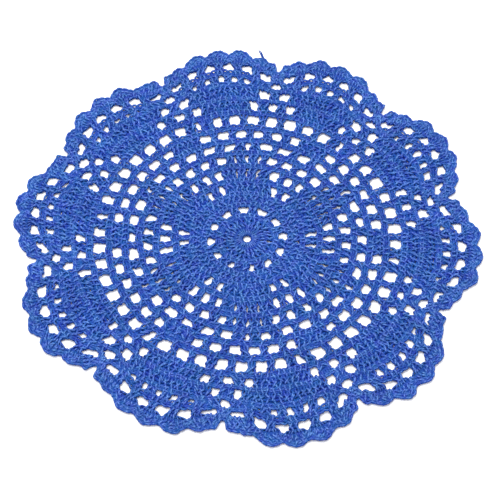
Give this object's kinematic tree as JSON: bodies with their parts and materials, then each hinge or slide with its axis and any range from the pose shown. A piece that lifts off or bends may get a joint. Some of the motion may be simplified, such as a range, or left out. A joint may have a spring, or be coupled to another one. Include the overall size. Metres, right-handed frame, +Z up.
{
  "type": "round crochet placemat",
  "caption": "Flat round crochet placemat with a scalloped petal rim and an openwork mesh, laid under a plate, bowl or vase.",
  "frame": {"origin": "middle of the mat's bounding box on the table, at its underside", "axes": "+Z up out of the table, through the mat's thickness; +X to the right and +Y to the back as the picture shows the mat"},
  "size_m": [0.3716, 0.3642, 0.003],
  "materials": {
    "cotton_yarn": "soft matte royal blue cotton yarn, plied, with fine stray fibres"
  },
  "bodies": {
    "root": {"placemat": "cotton_yarn"}
  },
  "joints": []
}
